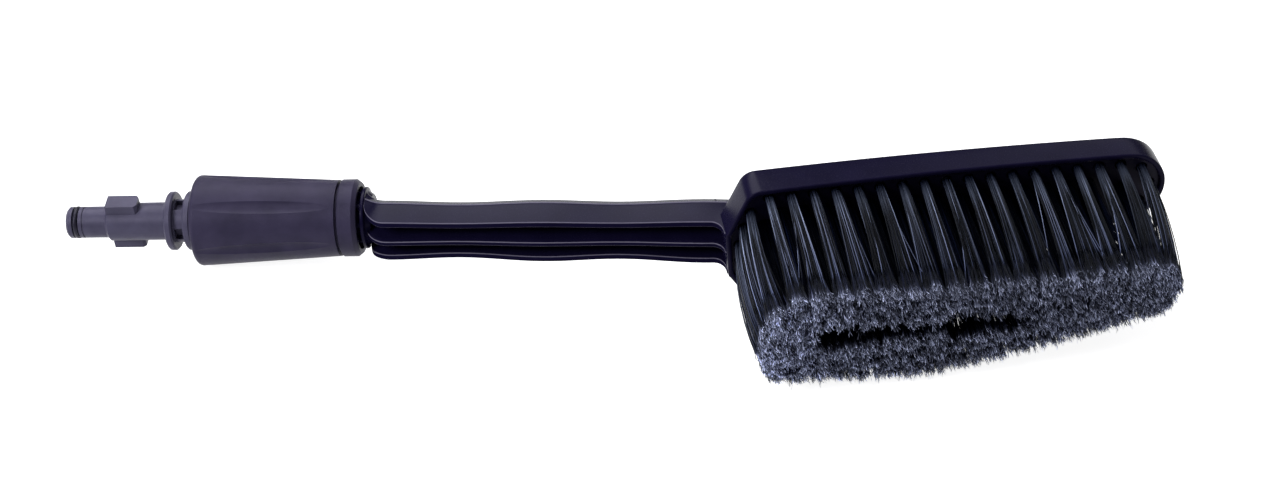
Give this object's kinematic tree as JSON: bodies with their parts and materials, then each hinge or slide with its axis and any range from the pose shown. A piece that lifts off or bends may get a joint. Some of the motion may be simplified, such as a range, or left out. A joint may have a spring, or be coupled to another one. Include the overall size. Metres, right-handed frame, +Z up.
{
  "type": "wheel brush",
  "caption": "Flow-through wheel brush: bayonet spigot with grip sleeve, ribbed open-backed handle and a tapered oval head with long flagged bristle tufts.",
  "frame": {"origin": "centre of the bounding box at the floor, with the brush lying on its side on the grip sleeve, the head's edge and the bristles", "axes": "+X along the brush from the bayonet spigot to the head, +Y towards the back of the head and away from the bristle tips, +Z up across the brush's width"},
  "size_m": [0.4152, 0.0988, 0.0581],
  "materials": {
    "charcoal_plastic": "fine moulded texture, dull",
    "black_plastic": "smooth moulded, soft shine",
    "seal_rubber": "soft black seal rubber",
    "spring_steel": "bright drawn strip",
    "bristle_nylon": "dark grey-blue filaments, split and paler at the tips"
  },
  "bodies": {
    "brush": {"handle_body": "black_plastic", "neck_snap_ring": "spring_steel", "neck_o_rings": "seal_rubber", "water_tube": "black_plastic", "tube_o_rings": "seal_rubber", "head_shell": "black_plastic", "tuft_plate": "black_plastic", "plate_gasket": "seal_rubber", "water_jets": "charcoal_plastic", "outer_tufts_near": "bristle_nylon", "outer_tufts_far": "bristle_nylon", "outer_tufts_heel": "bristle_nylon", "outer_tufts_toe": "bristle_nylon", "middle_tufts_near": "bristle_nylon", "middle_tufts_far": "bristle_nylon", "middle_tufts_ends": "bristle_nylon", "inner_tufts_near": "bristle_nylon", "inner_tufts_far": "bristle_nylon", "inner_tufts_heel": "bristle_nylon", "centre_tufts": "bristle_nylon", "outer_anchors": "spring_steel", "middle_anchors": "spring_steel", "inner_anchors": "spring_steel"},
    "adaptor": {"bayonet_spigot": "charcoal_plastic", "nose_o_ring": "seal_rubber", "grip_sleeve": "charcoal_plastic", "retaining_ring": "charcoal_plastic", "thrust_washer": "spring_steel"}
  },
  "joints": [
    {"name": "coupling_swivel", "type": "hinge", "parent": "brush", "child": "adaptor", "pos_m": [-0.12745, 0.02702, 0.01895], "axis": [0.9981, 0, 0.0616], "continuous": true}
  ]
}
